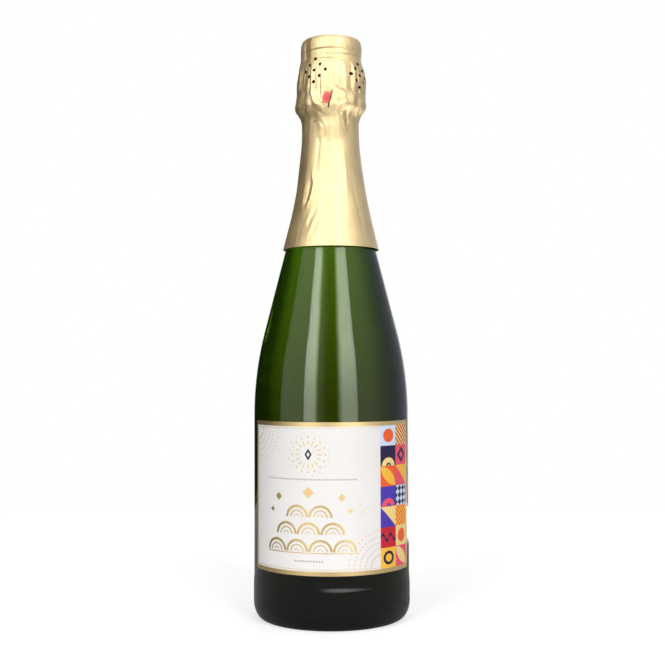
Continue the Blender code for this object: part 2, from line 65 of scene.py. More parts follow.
# Shader sums
class Sum:
    # a number in a shader tree, so that a pattern can be written as a sum
    def __init__(self, tree, out):
        self.tree, self.out = tree, out

    def do(self, operation, *others):
        node = self.tree.nodes.new("ShaderNodeMath")
        node.operation = operation
        for inlet, given in zip(node.inputs, (self, *others)):
            plug(self.tree, inlet, given)
        return Sum(self.tree, node.outputs[0])

    def __add__(self, other):
        return self.do("ADD", other)

    __radd__ = __add__  # so that sum() takes them too

    def __sub__(self, other):
        return self.do("SUBTRACT", other)

    def __mul__(self, other):
        return self.do("MULTIPLY", other)

    def __truediv__(self, other):
        return self.do("DIVIDE", other)

    def size(self):
        return self.do("ABSOLUTE")

    def floor(self):
        return self.do("FLOOR")

    def least(self, *others):
        whole = self
        for other in others:
            whole = whole.do("MINIMUM", other)
        return whole

    def most(self, *others):
        whole = self
        for other in others:
            whole = whole.do("MAXIMUM", other)
        return whole

    def flip(self):
        return self * -1 + 1

    def rise(self, low, high):  # 0 below low, 1 above high and smooth between
        node = addNode(self.tree, "MapRange", {"Value": self, "From Min": low, "From Max": high},
                       interpolation_type="SMOOTHSTEP")
        return Sum(self.tree, node.outputs["Result"])

    def fall(self, low, high):
        return self.rise(low, high).flip()

    def between(self, low, high, soft):
        return self.rise(low - soft, low + soft) * self.fall(high - soft, high + soft)


def plug(tree, inlet, given):
    if isinstance(given, Sum):
        given = given.out
    if isinstance(given, bpy.types.NodeSocket):
        tree.links.new(given, inlet)
    elif inlet.type == "RGBA":
        inlet.default_value = (*given, 1)
    else:
        inlet.default_value = given


def plugAll(tree, node, given):
    for name, value in given.items():
        plug(tree, node.inputs[name], value)


def addNode(tree, kind, inputs=None, **settings):
    node = tree.nodes.new("ShaderNode" + kind)
    for name, value in settings.items():
        setattr(node, name, value)
    plugAll(tree, node, inputs or {})
    return node


def addNoise(tree, place, scale, detail=2.0, roughness=0.5):
    given = {"Vector": place, "Scale": scale, "Detail": detail, "Roughness": roughness}
    return Sum(tree, addNode(tree, "TexNoise", given).outputs[0])


def mixColour(tree, share, first, second):
    node = addNode(tree, "Mix", data_type="RGBA")
    for index, given in ((0, share), (6, first), (7, second)):
        plug(tree, node.inputs[index], given)
    return node.outputs[2]


def distance(across, up):
    return (across * across + up * up).do("SQRT")


# Studio: two tall soft boxes, a weak fill at each side and a white backdrop behind
studio = {
    # degrees round the bottle from the camera, where each starts, is full, fades and ends
    "boxes": [
        ((-41.8, -40.2, -27, -19), 1),
        ((-41.8, -40.2, -24, -4), 0.16),
        ((7, 19, 38.2, 39.8), 1),
    ],
    "fills": [((-82, -78, -41.8, -40.2), 0.85), ((38.2, 39.8, 60, 115), 0.62)],
    "heights": (-7, -3, 42, 66),  # the same in degrees up, for all of them
    "boxLight": 5.8,
    "boxFoot": 0.58,  # share of it that the boxes keep low down
    "boxGrows": (-2, 28),
    "overhead": (50, 80),
    "overheadLight": 1.2,
    "coolSide": (70, 120),
    "coolLight": 0.42,
    "coolTint": (0.86, 0.88, 1.06),
    "warmTint": (1, 0.99, 0.95),
    "backRight": (147, 167),
    "backLeft": (158, 182),
    "backLeftInGlass": (139, 184),  # softer where it shows through the glass
}
paleFloor = {
    "size": 0.9,
    "glow": 0.62,
    "grey": (0.46, 0.46, 0.46),
    # painted shade: the floor is darker where it is seen in reflections, and nearly black where it
    # is seen through the glass
    "shadedGreyInGloss": (0.26, 0.26, 0.26),
    "shadedGreyInGlass": (0.08, 0.08, 0.08),
    "shine": 0.1,  # how much of the glow reflections get
    "foilPaintedGlow": 4.0,  # and how much more those get that come from as high as the foil: a painted reflection, a ring of glow seen only in the foil's reflections
    "foilRays": (0.26, 0.32),  # their length
    "foilRing": (0.08, 0.13),  # distance from the bottle's axis
    "foilSide": (-0.12, 0.02),  # it fades out to the left
}


def stretch(number, edges):
    starts, full, fades, ends = edges
    return number.rise(starts, full) * number.fall(fades, ends)


def makeStudio():
    world = bpy.data.worlds.new("studio")
    bpy.context.scene.world = world
    world.use_nodes = True
    tree = world.node_tree
    tree.nodes.clear()
    way = addNode(tree, "SeparateXYZ", {"Vector": addNode(tree, "TexCoord").outputs["Generated"]})
    across, along, up = (Sum(tree, out) for out in way.outputs)
    turn = across.do("ARCTAN2", along * -1) * math.degrees(1)
    rise = up.do("ARCSINE") * math.degrees(1)
    high = stretch(rise, studio["heights"])
    growth = rise.rise(*studio["boxGrows"]) * (1 - studio["boxFoot"]) + studio["boxFoot"]
    boxes = sum(stretch(turn, edges) * share for edges, share in studio["boxes"])
    fills = sum(stretch(turn, edges) * share for edges, share in studio["fills"])
    overhead = rise.rise(*studio["overhead"]) * studio["overheadLight"]
    right, left = turn.rise(*studio["backRight"]), turn * -1
    behind = right.most(left.rise(*studio["backLeft"]))
    plain = boxes * high * studio["boxLight"] * growth + fills * high + overhead + behind
    cool = turn.rise(*studio["coolSide"]) * studio["coolLight"]
    tints = zip(("Red", "Green", "Blue"), studio["warmTint"], studio["coolTint"])
    lights = {name: plain * warm + cool * share for name, warm, share in tints}
    path = addNode(tree, "LightPath")
    inGlass = right.most(left.rise(*studio["backLeftInGlass"]))
    seen = Sum(tree, path.outputs["Is Transmission Ray"]) * inGlass
    seen = Sum(tree, path.outputs["Is Camera Ray"]).most(seen)
    shown = mixColour(tree, seen, addNode(tree, "CombineColor", lights).outputs[0], (1, 1, 1))
    sky = addNode(tree, "Background", {"Color": shown, "Strength": 1.0})
    addNode(tree, "OutputWorld", {"Surface": sky.outputs[0]})


def makeFloor():
    deselectAll()
    bpy.ops.mesh.primitive_grid_add(x_subdivisions=8, y_subdivisions=8, size=paleFloor["size"])
    floor = bpy.context.object
    floor.name = "studioFloor"
    material, tree, shader, place = newMaterial("paleFloor")
    tree.nodes.remove(shader)
    path = addNode(tree, "LightPath")
    direct, glossy, through = (Sum(tree, path.outputs[name]) for name in (
        "Is Camera Ray", "Is Glossy Ray", "Is Transmission Ray"))
    spot = addNode(tree, "SeparateXYZ", {"Vector": place})
    aside, along = Sum(tree, spot.outputs[0]), Sum(tree, spot.outputs[1])
    # painted reflection: a ring of glow round the bottle, seen only in reflections from as high as
    # the foil, brightens the foil's underside
    lit = distance(aside, along).rise(*paleFloor["foilRing"])
    lit = lit * Sum(tree, path.outputs["Ray Length"]).rise(*paleFloor["foilRays"])
    lit = lit * aside.rise(*paleFloor["foilSide"]) * paleFloor["foilPaintedGlow"] + paleFloor["shine"]
    # painted shade: darker copies of the floor grey for reflections and for what shows through the
    # glass
    grey = mixColour(tree, glossy, paleFloor["grey"], paleFloor["shadedGreyInGloss"])
    grey = mixColour(tree, through, grey, paleFloor["shadedGreyInGlass"])
    matt = addNode(tree, "BsdfDiffuse", {"Color": grey})
    strength = direct.most(glossy * lit) * paleFloor["glow"]
    glow = addNode(tree, "Emission", {"Color": (1, 1, 1), "Strength": strength})
    both = addNode(tree, "AddShader")
    tree.links.new(matt.outputs[0], both.inputs[0])
    tree.links.new(glow.outputs[0], both.inputs[1])
    tree.links.new(both.outputs[0], tree.nodes["Material Output"].inputs["Surface"])
    floor.data.materials.append(material)


# Tools that the pieces share
def deselectAll():
    if bpy.context.mode != "OBJECT":
        bpy.ops.object.mode_set(mode="OBJECT")
    bpy.ops.object.select_all(action="DESELECT")


def only(piece):
    deselectAll()
    piece.select_set(True)
    bpy.context.view_layer.objects.active = piece


def startEdit(piece):
    only(piece)
    bpy.ops.object.mode_set(mode="EDIT")
    bpy.ops.mesh.select_all(action="SELECT")


def endEdit():
    bpy.ops.object.mode_set(mode="OBJECT")


def turnOutwards(piece, howFarOut):
    # turns the faces of an open sheet round if most of them point inwards
    if sum(howFarOut(face) for face in piece.data.polygons) < 0:
        startEdit(piece)
        bpy.ops.mesh.flip_normals()
        endEdit()


def joinPieces(pieces):
    deselectAll()
    for piece in pieces:
        piece.select_set(True)
    bpy.context.view_layer.objects.active = pieces[0]
    bpy.ops.object.join()
    return bpy.context.object


def spinOutline(name, outline, steps):
    # a plane is merged to the outline's first point, drawn on along it and spun round the axis
    outline = [(radius * mm, z * mm) for radius, z in outline]
    first = Vector((outline[0][0], 0, outline[0][1]))
    deselectAll()
    bpy.ops.mesh.primitive_plane_add(size=mm, location=first)
    piece = bpy.context.object
    piece.name = name
    bpy.ops.object.transform_apply(location=True)
    startEdit(piece)
    bpy.ops.mesh.merge(type="CENTER")
    for before, after in zip(outline, outline[1:]):
        step = (after[0] - before[0], 0, after[1] - before[1])
        bpy.ops.mesh.extrude_region_move(TRANSFORM_OT_translate={"value": step})
    bpy.ops.mesh.select_all(action="SELECT")
    bpy.ops.mesh.spin(steps=steps, angle=2 * math.pi, center=(0, 0, 0), axis=(0, 0, 1))
    bpy.ops.mesh.select_all(action="SELECT")
    bpy.ops.mesh.remove_doubles(threshold=0.002 * mm)
    bpy.ops.mesh.normals_make_consistent(inside=False)
    endEdit()
    return piece


def applyModifier(piece, kind, **settings):
    only(piece)
    modifier = piece.modifiers.new(kind.lower(), kind)
    for name, value in settings.items():
        setattr(modifier, name, value)
    bpy.ops.object.modifier_apply(modifier=modifier.name)


def cutOut(piece, cutter):
    applyModifier(piece, "BOOLEAN", object=cutter, operation="DIFFERENCE", solver="EXACT")
    bpy.data.objects.remove(cutter)


def finishPiece(piece, body, replaced, material=None, sharp=40):
    only(piece)
    bpy.ops.object.transform_apply(location=True, rotation=True, scale=True)
    bpy.ops.object.shade_smooth_by_angle(angle=math.radians(sharp))
    if material:
        piece.data.materials.clear()
        piece.data.materials.append(material)
    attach(piece, body)
    if replaced:
        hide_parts(*replaced)
    print("made", piece.name, len(piece.data.polygons), "faces")


def spread(low, high, count):
    return [low + (high - low) * step / count for step in range(count + 1)]


def arc(centre, width, height, start, end, count):
    return [(centre[0] + width * math.cos(math.radians(angle)),
             centre[1] + height * math.sin(math.radians(angle)))
            for angle in spread(start, end, count)]


def placeAt(radius, angle, z):
    return Vector((radius * math.cos(angle), radius * math.sin(angle), z)) * mm


def newMaterial(name):
    material = bpy.data.materials.new(name)
    material.use_nodes = True
    tree = material.node_tree
    place = addNode(tree, "TexCoord").outputs["Object"]
    return material, tree, tree.nodes["Principled BSDF"], place


def addBump(tree, shader, height, strength, depth):
    given = {"Height": height, "Strength": strength, "Distance": depth * mm}
    plug(tree, shader.inputs["Normal"], addNode(tree, "Bump", given).outputs[0])


def addMap(tree, name):
    cross = addNode(tree, "SeparateXYZ", {"Vector": addNode(tree, "UVMap", uv_map=name).outputs[0]})
    return Sum(tree, cross.outputs[0]), Sum(tree, cross.outputs[1])


def fillWith(tree, look):
    given = {"Color": look["colour"], "Density": look["absorption"]}
    depth = addNode(tree, "VolumeAbsorption", given)
    tree.links.new(depth.outputs[0], tree.nodes["Material Output"].inputs["Volume"])


def makeMetal(name, look, coat=None):
    # stains give it its tone, and a finer grain its shine and surface
    material, tree, shader, place = newMaterial(name)
    stains, grain = addNoise(tree, place, *look["stains"]), addNoise(tree, place, *look["grain"])
    varied, least = look["roughness"]
    plugAll(tree, shader, {
        "Base Color": mixColour(tree, stains, *look["tones"]),
        "Metallic": look["metallic"],
        "Roughness": grain * varied + least,
        **(coat or {}),
    })
    addBump(tree, shader, grain, *look["bump"])
    return material


makeStudio()
makeFloor()
print("studio lit")


# Glass bottle
bottle = {
    "bodyRadius": 43.3,
    "bodyWall": 4.7,
    "heelRadius": 43.65,
    "heelRound": (5.6, 10.0),
    "heelBand": 8,
    "standingRing": (35.05, 38.05),
    "puntDepth": 32.0,
    "domeWall": 5.5,
    "floorWall": 6.5,
    "cornerRound": (4.8, 13.5),
    "shoulder": 112.5,
    "shoulderArc": 187.0,
    "coneLow": 159.32,
    "coneHigh": 211.55,
    "coneSlope": 14.5,
    "neck": 278.65,
    "neckArc": 268.0,
    "neckRadius": 15.3,
    "boreRadius": 8.9,
    "wiringRing": (287.55, 296.55, 16.6),
    "ringRound": 1,
    "mouth": 305.05,
    "crownRadius": 14.3,
    "crownRound": 1.5,
    "mouthRound": 0.6,
    "around": 192,
    "colour": (0.52, 0.705, 0.20),
    "absorption": 410.0,
    # height, and how much light it lets through there; painted shade: the glass is made darker low
    # down, where the bottle looks dark
    "clear": [(0, 0.30), (28, 0.34), (60, 0.52), (117, 0.70), (156, 0.90), (200, 1.0)],
    "ripple": (38.0, 1.0),
    "smear": (120.0, 3.0),
}


def glassRadius(z):
    body, wide = bottle["bodyRadius"], bottle["shoulderArc"]
    neck, long = bottle["neckRadius"], bottle["neckArc"]
    slope = math.radians(bottle["coneSlope"])
    if z <= bottle["shoulder"]:
        return body
    if z <= bottle["coneLow"]:
        return body - wide + math.sqrt(wide**2 - (z - bottle["shoulder"])**2)
    if z <= bottle["coneHigh"]:
        return neck + long * (1 - math.cos(slope)) + (bottle["coneHigh"] - z) * math.tan(slope)
    if z <= bottle["neck"]:
        return neck + long - math.sqrt(long**2 - (bottle["neck"] - z)**2)
    return neck


def cavityRadius(z):
    share = min(max((z - bottle["shoulder"]) / (bottle["neck"] - bottle["shoulder"]), 0), 1)
    neckWall = bottle["neckRadius"] - bottle["boreRadius"]
    return glassRadius(z) - bottle["bodyWall"] - (neckWall - bottle["bodyWall"]) * share


def dome(radius, low, rise, angles):
    return [(radius * math.sin(math.radians(angle)),
             low + rise * math.cos(math.radians(angle)) ** 3) for angle in angles]


def cavityOutline(grown=0.0):
    # inside of the glass from the neck down to the axis
    points = [(cavityRadius(z) + grown, z) for z in spread(bottle["neck"], bottle["shoulder"], 36)]
    width, height = bottle["cornerRound"]
    valley, floor = bottle["bodyRadius"] - bottle["bodyWall"] - width, bottle["floorWall"]
    points += arc((valley, floor + height), width + grown, height + grown, 0, -90, 12)
    rise = bottle["puntDepth"] + bottle["domeWall"] - floor
    return points + dome(valley, floor - grown, rise, spread(90, 0, 20)[1:])


def makeGlassMaterial():
    material, tree, shader, place = newMaterial("darkGreenGlass")
    height = Sum(tree, addNode(tree, "SeparateXYZ", {"Vector": place}).outputs[2])
    top = bottle["clear"][-1][0]
    # painted shade: the glass's colour darkens towards the foot
    ramp = addNode(tree, "ValToRGB", {"Fac": height / (top * mm)})
    for index, (z, level) in enumerate(bottle["clear"]):
        if index > 1:
            ramp.color_ramp.elements.new(z / top)
        ramp.color_ramp.elements[index].position = z / top
        ramp.color_ramp.elements[index].color = (level, level, level, 1)
    ripple, smear = (addNoise(tree, place, *bottle[name]) for name in ("ripple", "smear"))
    plugAll(tree, shader, {
        "Base Color": ramp.outputs[0],
        "Transmission Weight": 1.0,
        "IOR": 1.52,
        "Roughness": smear.rise(0.35, 0.8) * 0.03 + 0.012,
    })
    addBump(tree, shader, ripple, 0.25, 0.35)
    fillWith(tree, bottle)
    return material


def makeGlassBottle():
    (inner, outer), (width, height) = bottle["standingRing"], bottle["heelRound"]
    heel, body, band = bottle["heelRadius"], bottle["bodyRadius"], bottle["heelBand"]
    shoulder, neck, bore = bottle["shoulder"], bottle["neckRadius"], bottle["boreRadius"]
    outline = dome(inner, 0, bottle["puntDepth"], spread(0, 90, 20))
    outline += arc((outer, height), width, height, -90, 0, 14)
    outline += [(heel, z) for z in spread(height, height + band, 3)[1:]]
    for step, z in enumerate(spread(height + band, height + 2 * band, 6)[1:], 1):
        outline.append((heel - (heel - body) * (1 - math.cos(math.pi * step / 6)) / 2, z))
    outline += [(body, z) for z in spread(height + 2 * band, shoulder, 10)[1:]]
    outline += [(glassRadius(z), z) for z in spread(shoulder, bottle["neck"], 56)[1:]]
    ringLow, ringHigh, ringRadius = bottle["wiringRing"]
    small, crownRound, lip = bottle["ringRound"], bottle["crownRound"], bottle["mouthRound"]
    outline.append((neck, ringLow))
    outline += arc((ringRadius - small, ringLow + small), small, small, -90, 0, 5)
    outline += arc((ringRadius - small, ringHigh - small), small, small, 0, 90, 5)
    crown, mouth = bottle["crownRadius"], bottle["mouth"]
    outline.append((crown, ringHigh + small))
    outline += arc((crown - crownRound, mouth - crownRound), crownRound, crownRound, 0, 90, 8)
    outline += arc((bore + lip, mouth - lip), lip, lip, 90, 180, 4)
    piece = spinOutline("glassBottle", outline + cavityOutline(), bottle["around"])
    finishPiece(piece, "bottle", ["glass_bottle"], greenGlass)


# Moulded points low on the heel, at the right
heelPoints = {
    "radius": 0.7,
    "flatness": 0.62,
    "sunk": 0.12,
    "footWidth": 1.25,
    "topWidth": 0.9,
    "places": [  # turn and height
        (38, 8.6), (42, 6.6), (46, 4.9), (50, 7.4), (55, 9.4), (61, 7.2), (66, 10.6), (71, 8.8),
        (77, 11.2),
    ],
}


def makeHeelPoints():
    made = []
    size, (width, height) = heelPoints["radius"] * mm, bottle["heelRound"]
    wide, narrow = heelPoints["footWidth"], heelPoints["topWidth"]
    for turn, z in heelPoints["places"]:
        drop = math.acos((height - z) / height) if z < height else math.pi / 2
        angle = front + math.radians(turn)
        spot = placeAt(bottle["standingRing"][1] + width * math.sin(drop), angle, z)
        deselectAll()
        bpy.ops.mesh.primitive_uv_sphere_add(segments=16, ring_count=8, radius=size, location=spot)
        point = bpy.context.object
        outwards = Vector((
            math.cos(angle) * math.sin(drop), math.sin(angle) * math.sin(drop), -math.cos(drop)))
        for vertex in point.data.vertices:  # a low dome, broad at its foot
            rise = vertex.co.dot(outwards)
            flat = (vertex.co - outwards * rise) * (wide - (wide - narrow) * rise / size)
            vertex.co = flat + outwards * (rise * heelPoints["flatness"] - heelPoints["sunk"] * mm)
        made.append(point)
    piece = joinPieces(made)
    piece.name = "heelPoints"
    finishPiece(piece, "bottle", [], greenGlass)


greenGlass = makeGlassMaterial()
makeGlassBottle()
makeHeelPoints()


# Wine, a hair wider than the hollow so that no film of air lies between it and the glass
wine = {
    "level": 225.05,
    "overlap": 0.06,
    "meniscus": 0.9,
    "meniscusWidth": 2.2,
    "flatShare": 0.6,
    "colour": (0.72, 0.66, 0.20),
    "absorption": 45.0,
}


def makeWine():
    material, tree, shader, place = newMaterial("paleWine")
    plugAll(tree, shader, {
        "Base Color": (1, 1, 1), "Transmission Weight": 1.0, "IOR": 1.34, "Roughness": 0.0})
    addBump(tree, shader, addNoise(tree, place, 25.0), 0.02, 0.1)
    fillWith(tree, wine)
    level, drop, width = wine["level"], wine["meniscus"], wine["meniscusWidth"]
    edge = cavityRadius(level)
    outline = [(0, level - drop), (edge * wine["flatShare"], level - drop)]
    outline += [(edge - width + width * share, level - drop * (1 - share**3))
                for share in (0.3, 0.6, 0.85)]
    outline.append((edge + wine["overlap"], level))
    outline += [point for point in cavityOutline(wine["overlap"]) if point[1] < level - 1]
    piece = spinOutline("wineFill", outline, bottle["around"])
    finishPiece(piece, "bottle", ["wine"], material)


makeWine()


# Foil
foil = {
    "around": 480,
    "wall": 0.14,
    "outline": [  # height and outer radius
        (204, 27.4), (206.05, 26.85), (211, 25.6), (220.1, 23.3), (229.2, 21.3), (238.3, 19.5),
        (247.4, 18.25), (251.9, 17.7), (256.5, 17.2), (261.1, 16.75), (265.6, 16.35), (270.2, 16.1),
        (274.8, 16.05), (277.6, 16.25), (279.3, 16.7), (281, 17.45), (282.7, 18.55), (284.4, 19.6),
        (286.1, 19.95), (287.8, 19.9), (289.6, 19.6), (293, 19.15), (296.4, 19), (299.9, 18.95),
        (301.6, 18.75), (303.3, 18.5), (306.7, 18), (308.5, 17.55), (310.2, 17.05), (311.9, 16.65),
        (313.6, 16.6), (317.1, 16.65), (318.8, 16.6), (320.5, 16.45), (322.2, 16.05),
    ],
    "top": [
        (323.1, 15.65), (323.7, 15.1), (324.1, 14.35), (324.35, 13.2), (324.5, 12.4),
        (324.45, 11.6), (324.3, 11.2),
    ],
    "topDisc": [  # radius and height
        (13.2, 323.85), (9.8, 323.9), (9.3, 324.1), (8.7, 324.1), (8.2, 323.92), (4, 323.95),
        (0, 323.95),
    ],
    "shoulder": 322,  # the sides end here and bend in to the top
    "topPleats": (9, 0.12),  # scale and height
    "topSoft": (2.3, 1.5),  # they take the place of the other shapes over these heights
    "tear": (287.25, 293.5),
    "tearGap": 0.03,
    "coarseBelow": 262,
    "fineStep": 0.42,
    "coarseStep": 1.5,
    "lowerEdge": 205.2,
    "sway": [  # how far the real foil stands to the right of the bottle's axis
        (205, 0), (209, 0), (222, 0.3), (236, 0.4), (250, 0.1), (263, 0), (272, -0.1), (277, -0.2),
        (281.7, -0.5), (286, -0.2), (290.8, 0.6), (295.3, 1), (300, 1.25), (309, 1.1),
        (313.7, 0.85), (319.4, 1.25), (325, 1.5),
    ],
    # the cage leaves less room for it on the left
    "swayLeft": [(205, 0.4), (289, 0.4), (296, 0.05), (325, 0.05)],
    # pressed bands, as height, depth, turn where deepest, half width and least share of the depth
    "bands": [
        (315.5, 0.4, -19, 0.6, 0.1), (312.9, 0.2, 26, 0.38, 0.4), (309.9, 0.34, -5, 0.42, 0.4),
    ],
    "bandReach": 0.5,  # in radians
    "bandWave": 0.35,
    "ridge": 0.5,  # half width of the ridge above each
    "ridgeShare": 0.6,
    # flat strip down the left: height and turn of its sharp edge
    "facet": [(205, -50), (240, -50), (262, -47), (284, -45), (296, -41.5), (325, -41)],
    "facetWidth": 31,
    "facetShare": [
        (205, 0.5), (250, 0.5), (280, 0.5), (288, 0.8), (298, 0.9), (310, 1), (325, 1),
    ],
    "crumples": [  # where, stretch, scale, shift and height
        ("pleats", (1, 1, 0.4), 0.26, (0, 0, 0), 0.62),
        ("pleats", (1, 1, 0.3), 0.6, (0, 0, 0), 0.12),
        ("waist", (1, 1, 0.3), 0.45, (9, 4, 0), 0.16),
        ("neck", (0.12, 0.12, 0.03), 1, (3, 7, 1), 0.28),
        ("neck", (0.5, 0.5, 0.06), 1, (0, 0, 0), 0.075),
        ("crown", (0.6, 0.6, 0.5), 1, (5, 0, 2), 0.1),
    ],
    # where shapes of the foil lie, each as a start, its softness, an end and its softness
    "pleatHeights": (276, 8, 311.5, 5),
    "waistHeights": (262, 12, 282, 4),
    "calmTurns": (-100, 20, 42, 12),
    "calm": 0.5,  # how much smaller the pleats are there
    "creaseEnds": 0.18,  # share of its length over which a crease fades in and out
    "creaseSharpness": 1.35,
    "bulgeHeights": (263, 11, 287, 8),
    "bulge": 1.35,  # fuller in front, below its widest place
    "hollowHeights": (280, 6, 294, 7),
    "hollow": 0.6,  # and drawn in above it
    "frontTurns": (36, 24),
    "seamTurn": 5,
    "seamWidth": 0.9,
    "seamLift": 0.16,
    "seamGroove": (0.12, 0.35),  # depth and half width, as for the hem
    "seamHeights": (309, 2, 323.4, 1),
    "hem": (0.09, 0.35),
    "hemHeight": 1.9,
    "vents": [  # turn, height and how far the foil is stretched there
        (-29.2, 303.7, 1), (56.6, 301.9, 1.35), (148, 303, 1), (-115, 300.9, 1),
    ],
    "ventStep": 3.3,
    "ventRadius": 0.92,
    "slit": ((-3.7, 281.4), (2.9, 292.6)),
    "slitWidth": 0.75,
    "cutDepth": 5,
    "stains": (90, 4, 0.6),
    "grain": (650, 3),
    "tones": ((0.865, 0.69, 0.385), (0.93, 0.745, 0.42)),
    "coat": {"Coat Weight": 1.0, "Coat Roughness": 0.4, "Coat IOR": 1.5},
}
# painted shade: the foil's inside is dark grey, darker than bare foil, so that the vents look dark
shadedFoilInside = {
    "stains": (500, 3),
    "grain": (500, 3),
    "tones": ((0.30, 0.29, 0.28), (0.38, 0.37, 0.36)),
    "metallic": 0.9,
    "roughness": (0.2, 0.35),
    "bump": (0.3, 0.2),
}

# creases of the foil, as turn and height along each, with their depth and half width in mm
creases = [
    ([(-20.6, 309.5), (-19.3, 301.1), (-18.3, 293.4), (-16.9, 286)], -0.55, 0.42),
    ([(-24.5, 308), (-23.5, 300), (-22.5, 291)], 0.28, 0.8),
    ([(4.8, 309.5), (3.2, 300.8), (2.6, 294.7), (2.6, 292)], -0.32, 0.45),
    ([(7.6, 309), (6.6, 300.8), (6, 295.5)], 0.16, 0.9),
    ([(4.4, 295), (14.3, 292.7), (24.2, 290.8), (33, 288.5)], -0.4, 0.8),
    ([(-6, 308), (-8, 302.4), (-6.5, 297.7)], -0.14, 0.4),
    ([(17.2, 308.5), (16.8, 299.5), (16, 292.2)], -0.2, 0.9),
    ([(26, 309), (25, 299.5), (26, 291)], 0.14, 1.1),
    ([(39.7, 308.9), (35.6, 300.2), (36.2, 294.1), (44.2, 289.6)], -0.55, 0.7),
    ([(43.4, 306.3), (43.7, 297.6), (48.5, 291.7)], 0.5, 1.1),
    ([(52, 307.5), (51.5, 299), (55, 290)], -0.45, 0.7),
    ([(68, 309), (66, 301), (68, 289)], 0.4, 1),
    ([(78, 308.8), (76, 300), (74.6, 291.6)], -0.45, 0.7),
    ([(-34.5, 309), (-33, 300), (-34, 291), (-27, 285.5), (-17, 282.5)], 0.5, 0.9),
    ([(-38.2, 307.8), (-37, 298), (-39, 290)], -0.3, 0.6),
    ([(-47.4, 308.7), (-52.4, 302.8), (-53.6, 296.2)], 0.2, 0.6),
    ([(-40.3, 296.9), (-45.4, 293.3), (-61.3, 290.1), (-73.2, 285.8)], 0.3, 0.6),
    ([(-58, 308), (-60, 300), (-58, 293)], -0.3, 0.6),
    ([(-69, 308.5), (-66, 300), (-70, 292)], 0.35, 0.8),
    ([(-82, 308), (-79, 299), (-84, 289)], -0.4, 0.9),
    ([(-26.5, 288.9), (-18.3, 285.6), (-9.5, 282.4)], -0.25, 0.5),
    ([(-35.7, 284.3), (-22.7, 281), (-10.2, 278.4)], -0.3, 1),
    ([(-33.6, 285), (-48.8, 281.4)], 0.45, 0.8),
    ([(-43, 284.8), (-59.1, 280.9)], -0.45, 0.7),
    ([(-62, 286), (-70, 280)], 0.4, 0.8),
    ([(6.5, 279.5), (10, 282.4), (19.5, 284.4), (30.6, 286.4)], 0.3, 0.8),
    ([(11.8, 285.6), (22.7, 287.6), (34.1, 287.5)], -0.2, 0.8),
    ([(13, 279), (26, 281.5), (36, 283)], -0.4, 0.8),
    ([(46, 287), (48, 282), (44, 277)], -0.4, 0.9),
    ([(58.4, 289.3), (55.9, 284), (58, 279)], 0.5, 0.9),
    ([(69, 288), (66, 282), (70, 277)], -0.45, 0.9),
    ([(82.5, 289), (80, 282), (82, 277)], 0.4, 1),
    ([(-34.8, 275.1), (-23.1, 277.6), (-7.9, 281.1)], 0.3, 0.8),
    ([(-10.8, 264.3), (-12.8, 272.3), (-23.1, 276.6)], -0.24, 0.7),
    ([(-0.5, 282), (-0.7, 262.2)], 0.3, 1),
    ([(19.6, 281.2), (26.2, 274.3), (33.5, 269.5)], 0.26, 0.9),
    ([(29.9, 282.5), (37.5, 274.3)], -0.3, 0.8),
    ([(-8.1, 266.7), (-7.6, 252), (-5.3, 235.3), (-6.1, 229.6), (-12.3, 221.8)], -0.36, 0.42),
    ([(-11, 262.7), (-10.4, 240)], 0.22, 0.8),
    ([(-5, 209.5), (-4.9, 204.8)], -0.35, 0.4),
    ([(-60, 323), (-60.5, 316), (-59, 309.5)], -0.45, 0.9),
    ([(-80, 327), (-80, 288)], 0.34, 1.8),
    ([(-170, 327), (-170, 305)], 0.3, 1.8),
    ([(-24, 268), (-22, 262), (-25, 254), (-30, 246)], -0.3, 0.9),
    ([(12, 276), (9, 266), (11, 256)], -0.2, 0.9),
    ([(24, 262), (27, 248), (25, 232)], 0.2, 1.4),
    ([(-35.4, 248.6), (-29.2, 240.1), (-32.9, 232.4), (-41.5, 225.4)], 0.5, 0.55),
    ([(-36.4, 244.6), (-46, 240.4), (-49, 234.7), (-46.5, 227.8)], 0.16, 0.6),
    ([(-36.5, 243.6), (-38.5, 235), (-43.5, 228)], -0.6, 1.4),
    ([(-6.7, 227.2), (-16.4, 221.4), (-25.3, 210.4)], -0.3, 0.6),
    ([(-12.1, 227.6), (-24, 218.4), (-31, 211)], 0.26, 0.7),
    ([(-20.6, 227.4), (-32.7, 216.5)], -0.3, 0.6),
    ([(-27.6, 226.4), (-38.7, 216.5)], 0.22, 0.6),
    ([(2, 228), (-1.5, 214), (-3, 207.5)], -0.22, 0.45),
    ([(38, 243), (43, 226), (47, 214)], -0.24, 1.4),
    ([(150, 309), (152, 288)], -0.5, 0.6),
    ([(166, 309), (163, 287)], 0.5, 0.9),
    ([(178, 309), (179, 291)], -0.45, 0.8),
    ([(-168, 309), (-170, 288)], 0.45, 1),
    ([(-154, 309), (-157, 289)], -0.5, 0.7),
    ([(-141, 309), (-139, 287)], 0.4, 0.9),
    ([(-129, 309), (-131, 290)], -0.45, 0.8),
    ([(-112, 309), (-110, 288)], 0.5, 0.9),
    ([(-92, 309), (-91, 289)], -0.25, 0.7),
    ([(91, 309), (93, 289)], -0.5, 0.8),
    ([(103, 309), (101, 288)], 0.45, 0.9),
    ([(116, 309), (118, 290)], -0.45, 0.7),
    ([(134, 309), (131, 287)], 0.5, 1),
]


def fromTable(table, z):
    for (low, lowValue), (high, highValue) in zip(table, table[1:]):
        if z <= high:
            return lowValue + (highValue - lowValue) * (z - low) / (high - low)
    return table[-1][1]


def foilRadius(z):
    shares = ((-0.6, 0.25), (0, 0.5), (0.6, 0.25))  # these round the outline's corners a little
    return sum(fromTable(foil["outline"], z + step) * share for step, share in shares)


